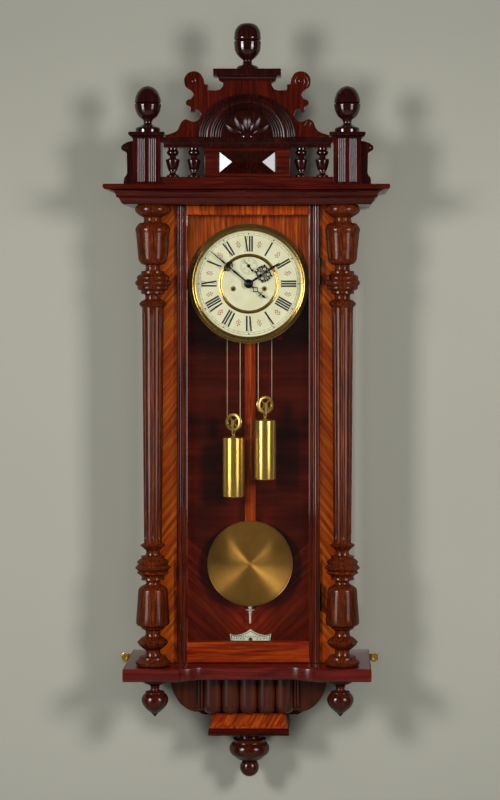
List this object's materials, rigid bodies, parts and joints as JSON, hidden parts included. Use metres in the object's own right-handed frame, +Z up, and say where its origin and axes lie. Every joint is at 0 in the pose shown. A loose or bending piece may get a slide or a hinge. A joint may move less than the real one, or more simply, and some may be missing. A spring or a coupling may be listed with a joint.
{
  "type": "wall regulator clock",
  "caption": "Tall glazed wall clock case with turned columns, carved crest, dial, wood-rod pendulum and two brass weights on pulleys.",
  "frame": {"origin": "on the wall plane, on the back face of the backboard straight behind the centre of the dial", "axes": "+X to the viewer's right, +Y into the wall, +Z up"},
  "size_m": [0.485, 0.23, 1.3115],
  "materials": {
    "walnut": "dark red-brown walnut, French polished to a high gloss",
    "veneer": "orange-brown figured veneer, French polished",
    "ebonised": "near-black stained and polished wood",
    "rod_wood": "varnished straight-grained rod",
    "glass": "clear window glass",
    "brass": "polished and lacquered brass",
    "blued_steel": "dark blued steel",
    "bright_steel": "bright drawn steel",
    "dial_enamel": "cream enamel with black numerals",
    "ivory": "pale engraved scale"
  },
  "bodies": {
    "case": {"backboard": "walnut", "cornice": "walnut", "base_plank": "walnut", "column_right": "walnut", "column_left": "walnut", "gallery_balustrade": "walnut", "gallery_tablet": "walnut", "pediment": "walnut", "drop_finial_right": "walnut", "drop_finial_left": "walnut", "apron": "walnut", "bottom_finial": "walnut", "movement_seat": "walnut", "case_side_right": "veneer", "case_side_left": "veneer", "dial_mask": "veneer", "foot_block": "veneer", "corner_post_right": "ebonised", "corner_post_left": "ebonised", "side_finial_right": "ebonised", "side_finial_left": "ebonised", "gallery_upper_rail": "ebonised", "arch_moulding": "ebonised", "pediment_cap": "ebonised", "top_finial": "ebonised", "side_glass_right": "glass", "side_glass_left": "glass", "hanger_plate": "brass", "leveller_bracket_right": "brass", "leveller_bracket_left": "brass", "movement_frame": "brass", "dial_bezel": "brass", "suspension_bracket": "brass", "gong": "blued_steel", "cable_right": "bright_steel", "cable_left": "bright_steel", "dial_plate": "dial_enamel", "beat_scale": "ivory"},
    "door": {"door_frame": "walnut", "door_glass": "glass"},
    "minute_train": {"centre_arbor": "brass", "minute_hand": "blued_steel"},
    "hour_wheel": {"hour_hand": "blued_steel"},
    "seconds_train": {"escape_wheel": "brass", "seconds_hand": "blued_steel"},
    "anchor": {"pallet_anchor": "bright_steel"},
    "pendulum": {"pendulum_rod": "rod_wood", "pendulum_bob": "brass"},
    "rating_nut_body": {"rating_nut": "brass"},
    "drum_body_right": {"drum_right": "brass"},
    "drum_body_left": {"drum_left": "brass"},
    "weight_body_right": {"weight_right": "brass"},
    "weight_body_left": {"weight_left": "brass"},
    "pulley_body_right": {"pulley_right": "brass"},
    "pulley_body_left": {"pulley_left": "brass"},
    "hammer": {"gong_hammer": "bright_steel"},
    "leveller_body_right": {"leveller_screw_right": "brass"},
    "leveller_body_left": {"leveller_screw_left": "brass"}
  },
  "joints": [
    {"name": "door_hinge", "type": "hinge", "parent": "case", "child": "door", "pos_m": [0.124, -0.146, -0.26], "axis": [0, 0, 1], "range_deg": [0, 90]},
    {"name": "minute_turn", "type": "hinge", "parent": "case", "child": "minute_train", "pos_m": [0, -0.09, 0], "axis": [0, 1, 0], "continuous": true},
    {"name": "hour_turn", "type": "hinge", "parent": "case", "child": "hour_wheel", "pos_m": [0, -0.09, 0], "axis": [0, 1, 0], "continuous": true},
    {"name": "seconds_turn", "type": "hinge", "parent": "case", "child": "seconds_train", "pos_m": [0, -0.09, 0.031], "axis": [0, 1, 0], "continuous": true},
    {"name": "pendulum_swing", "type": "hinge", "parent": "case", "child": "pendulum", "pos_m": [0, -0.034, 0.06], "axis": [0, 1, 0], "range_deg": [-3, 3]},
    {"name": "anchor_rock", "type": "hinge", "parent": "case", "child": "anchor", "pos_m": [0, -0.064, 0.06], "axis": [0, 1, 0], "range_deg": [-3, 3]},
    {"name": "rating_nut_turn", "type": "hinge", "parent": "pendulum", "child": "rating_nut_body", "pos_m": [0, -0.034, -0.578], "axis": [0, 0, 1], "continuous": true},
    {"name": "hammer_swing", "type": "hinge", "parent": "case", "child": "hammer", "pos_m": [0.043, -0.034, 0.062], "axis": [0, 1, 0], "range_deg": [-10, 0]},
    {"name": "weight_right_drop", "type": "slide", "parent": "case", "child": "weight_body_right", "axis": [0, 0, 1], "range_m": [-0.28, 0.11], "deforming": ["cable_right"]},
    {"name": "drum_right_turn", "type": "hinge", "parent": "case", "child": "drum_body_right", "pos_m": [0.0271, -0.066, -0.0088], "axis": [0, 1, 0], "range_deg": [-1047, 2661]},
    {"name": "pulley_right_turn", "type": "hinge", "parent": "weight_body_right", "child": "pulley_body_right", "pos_m": [0.0275, -0.078, -0.2125], "axis": [-0.5388, 0.8425, 0], "range_deg": [-458, 1161]},
    {"name": "leveller_right_screw", "type": "slide", "parent": "case", "child": "leveller_body_right", "axis": [0, 1, 0], "range_m": [-0.008, 0]},
    {"name": "weight_left_drop", "type": "slide", "parent": "case", "child": "weight_body_left", "axis": [0, 0, 1], "range_m": [-0.25, 0.14], "deforming": ["cable_left"]},
    {"name": "drum_left_turn", "type": "hinge", "parent": "case", "child": "drum_body_left", "pos_m": [-0.0271, -0.066, -0.0088], "axis": [0, 1, 0], "range_deg": [-2376, 1332]},
    {"name": "pulley_left_turn", "type": "hinge", "parent": "weight_body_left", "child": "pulley_body_left", "pos_m": [-0.0275, -0.078, -0.243], "axis": [0.5388, 0.8425, 0], "range_deg": [-1037, 582]},
    {"name": "leveller_left_screw", "type": "slide", "parent": "case", "child": "leveller_body_left", "axis": [0, 1, 0], "range_m": [-0.008, 0]}
  ],
  "couplings": [
    {"joint": "hour_turn", "follows": "minute_turn", "ratio": 0.083333},
    {"joint": "seconds_turn", "follows": "minute_turn", "ratio": 60},
    {"joint": "anchor_rock", "follows": "pendulum_swing", "ratio": 1},
    {"joint": "drum_right_turn", "follows": "weight_right_drop", "rad_per_m": -165.73},
    {"joint": "pulley_right_turn", "follows": "weight_right_drop", "rad_per_m": -72.202},
    {"joint": "drum_left_turn", "follows": "weight_left_drop", "rad_per_m": 165.73},
    {"joint": "pulley_left_turn", "follows": "weight_left_drop", "rad_per_m": 72.202}
  ]
}
